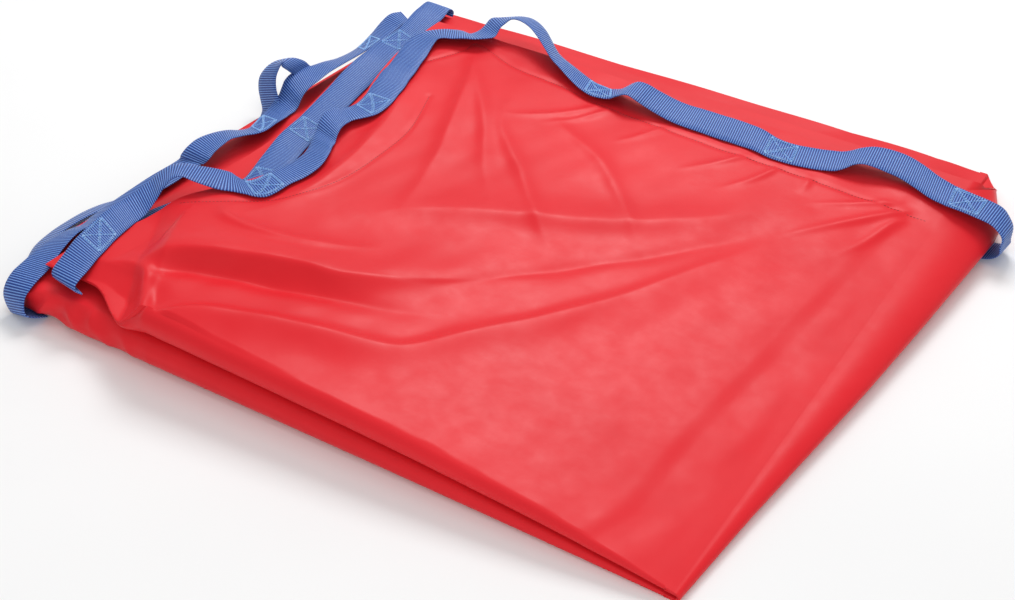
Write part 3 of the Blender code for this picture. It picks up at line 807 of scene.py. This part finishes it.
def hem_webbing(name, stations, boxes, nodes, body, layer, stitches, start=None):
    """One length of webbing with its stitch boxes. start is where another length ends that it
    carries on from."""
    centre, edge = webbing_lines(stations)
    if start is not None:
        near = 1 - smooth(np.arange(len(centre)) / (3.0 * FINE))
        centre = centre + near[:, None] * (start - centre[0])
    if layer:
        centre = rest_on(layer, centre, edge)
    centre[:, 2] = np.maximum(centre[:, 2], np.abs(edge[:, 2]) + 0.7 * WEB)
    length = np.concatenate([[0], np.cumsum(np.linalg.norm(np.diff(centre, axis=0), axis=1))])
    thing, lines = ribbon(name, centre, edge)
    for box in boxes:
        stitch_box(stitches, lines, np.interp(box * FINE, np.arange(len(length)), length))
    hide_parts(*nodes)
    if body == "upper_half":
        settle(thing)
    else:
        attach(thing, body)
    return thing, centre


def hem_seams(stitches):
    """The hem's own line of stitches on the top quarter."""
    for line in HEM_LINES:
        fine = smooth_line(line, 12) / 1000.0
        z = upper_face("top", fine[:, 0], fine[:, 1]) - (CLOTH - SKIN) / 2 - 0.0001
        points = np.column_stack([fine, z])
        stitches.line(points, np.tile([0.0, 0.0, 1.0], (len(points), 1)))


# ---------------------------------------------------------------- the object
def build_cloth():
    columns, top_rows = ((290, 290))
    lower = half_sheet("cloth_lower_half", "bottom", "lower", columns, (90, 20, 60))
    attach(lower, "lower_half")
    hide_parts("bottom_quarter", "lower_inner_quarter", "front_fold_lower")
    upper = half_sheet("cloth_upper_half", "upper", "top", columns, (60, 20, top_rows))
    settle(upper)
    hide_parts("upper_inner_quarter", "top_quarter", "front_fold_upper")
    side_bands("cloth_side_bend_outer", axis_height, ("bottom", "top"), ["side_fold_outer"],
               recess=SKIN)
    side_bands("cloth_side_bend_inner", inner_radius, ("lower", "upper"), ["side_fold_inner"])
    side_slack()


def numbered(name, count):
    return [f"{name}_{i + 1}" for i in range(count)]


def build_webbing():
    blue = {"upper_half": Stitches(), "lower_half": Stitches()}
    hems = [
        ("hem_top", TOP_HEM, TOP_HEM_BOXES, "upper_half", "top",
         numbered("webbing_top_back", 3) + numbered("webbing_top_left", 4)
         + ["webbing_left_wrap_upper"]),
        ("hem_upper_left", UPPER_HEM, UPPER_HEM_BOXES, "upper_half", "upper",
         numbered("webbing_upper_left", 4)),
        ("hem_lower_left", LOWER_HEM, LOWER_HEM_BOXES, "lower_half", "lower",
         numbered("webbing_lower_left", 4) + ["webbing_left_wrap_lower"]),
        ("hem_standing_loop", STANDING_LOOP, [], "lower_half", None, ["webbing_standing_loop"]),
        ("hem_bottom_left", BOTTOM_SIDE, [], "lower_half", None,
         numbered("webbing_bottom_left", 3)),
        ("hem_bottom_back", BOTTOM_BACK, [], "lower_half", None,
         numbered("webbing_bottom_back", 2)),
        ("hem_lower_back", LOWER_BACK, [], "lower_half", "lower", ["webbing_lower_back"]),
    ]
    starts = {}
    for name, stations, boxes, body, layer, nodes in hems:
        _, centre = hem_webbing(name, stations, boxes, nodes, body, layer, blue[body])
        starts[name] = centre[0]
    loop_thread = Stitches()
    loop, _ = hem_webbing("loop_over_side_fold", SIDE_LOOP, SIDE_LOOP_BOXES, ["webbing_right_wrap"],
                          "lower_half", None, loop_thread, starts["hem_top"])
    lie_down(loop)
    thread = loop_thread.make("thread_side_loop", BLUE_THREAD, "stitching")
    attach(thread, "lower_half")
    lie_down(thread)
    red = Stitches(0.00040)
    hem_seams(red)
    settle(red.make("thread_hem", RED_THREAD, "coated_cloth"))
    settle(blue["upper_half"].make("thread_upper_half", BLUE_THREAD, "stitching"))
    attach(blue["lower_half"].make("thread_lower_half", BLUE_THREAD, "stitching"), "lower_half")


# ---------------------------------------------------------------- studio
CAMERA_PLACE = (0.632, -1.054, 0.859)
CAMERA_TURN, CAMERA_DROP = 31.9, 36.8    # degrees from +Y, and down from level
CAMERA_LENS = 62.3


def area_light(name, place, target, size, power, colour=(1, 1, 1)):
    light = bpy.data.lights.new(name, "AREA")
    light.shape, light.size, light.size_y = "RECTANGLE", size[0], size[1]
    light.energy, light.color = power, colour
    thing = bpy.data.objects.new(name, light)
    thing.location = place
    thing.rotation_euler = (Vector(target) - Vector(place)).to_track_quat("-Z", "Y").to_euler()
    bpy.context.scene.collection.objects.link(thing)


def studio():
    bpy.ops.mesh.primitive_plane_add(size=14.0, location=(0, 0, -0.0002))
    floor = bpy.context.object
    floor.name = "studio_floor"
    paper, tree, shader = new_material("studio_paper")
    grain = node(tree, "ShaderNodeTexNoise", Scale=30.0, Detail=3.0)
    tree.links.new(ramp(tree, grain.outputs["Fac"], [(0.3, (0.86, 0.86, 0.86)),
                                                     (0.7, (0.90, 0.90, 0.90))]),
                   shader.inputs["Base Color"])
    shader.inputs["Roughness"].default_value = 0.9
    floor.data.materials.append(paper)
    area_light("key_softbox", (-0.6, 1.5, 1.9), (0, 0, 0), (1.2, 0.9), 38)
    area_light("top_softbox", (0.3, -0.1, 2.2), (0, 0, 0), (1.6, 1.6), 7)
    area_light("front_fill", (1.0, -1.9, 1.2), (0, 0, 0), (1.6, 1.2), 13)
    world = bpy.data.worlds.new("studio_light")
    bpy.context.scene.world = world
    world.use_nodes = True
    world.node_tree.nodes["Background"].inputs["Color"].default_value = (1, 1, 1, 1)
    world.node_tree.nodes["Background"].inputs["Strength"].default_value = 0.5
    camera = bpy.data.cameras.new("camera")
    camera.lens, camera.sensor_width = CAMERA_LENS, 36.0
    thing = bpy.data.objects.new("camera", camera)
    thing.location = CAMERA_PLACE
    thing.rotation_euler = (radians(90 - CAMERA_DROP), 0, radians(CAMERA_TURN))
    bpy.context.scene.collection.objects.link(thing)
    bpy.context.scene.camera = thing
    bpy.context.scene.view_settings.view_transform = "Standard"


build_cloth()
build_webbing()
studio()
